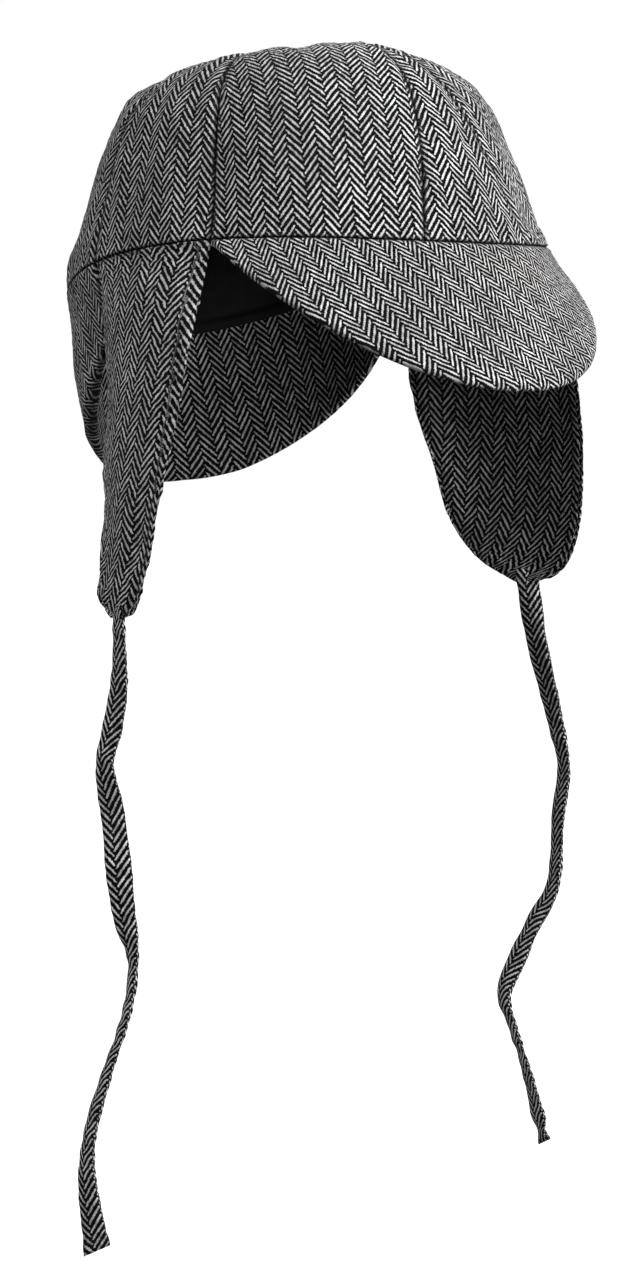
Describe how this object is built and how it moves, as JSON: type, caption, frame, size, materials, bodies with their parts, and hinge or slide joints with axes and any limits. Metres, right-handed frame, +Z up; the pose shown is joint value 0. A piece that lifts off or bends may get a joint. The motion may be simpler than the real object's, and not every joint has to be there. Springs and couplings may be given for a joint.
{
  "type": "deerstalker hat",
  "caption": "Tweed deerstalker hat with a seamed lined crown, peaks in front and behind, and padded ear flaps that end in flat hanging ties.",
  "frame": {"origin": "centre of the head opening at the mean height of its rim, where a head holds the hat", "axes": "+Z up through the crown, -Y towards the front peak, +X towards the wearer's left"},
  "size_m": [0.2428, 0.2199, 0.4516],
  "materials": {
    "tweed": "matte herringbone weave",
    "lining": "matte black lining"
  },
  "bodies": {
    "root": {"crown_front": "tweed", "crown_front_left": "tweed", "crown_side_left": "tweed", "crown_rear_left": "tweed", "crown_back": "tweed", "crown_rear_right": "tweed", "crown_side_right": "tweed", "crown_front_right": "tweed", "crown_lining": "lining", "front_peak": "tweed", "back_peak": "tweed", "ear_flap_left": "tweed", "ear_flap_right": "tweed", "tie_left": "tweed", "tie_right": "tweed"}
  },
  "joints": []
}
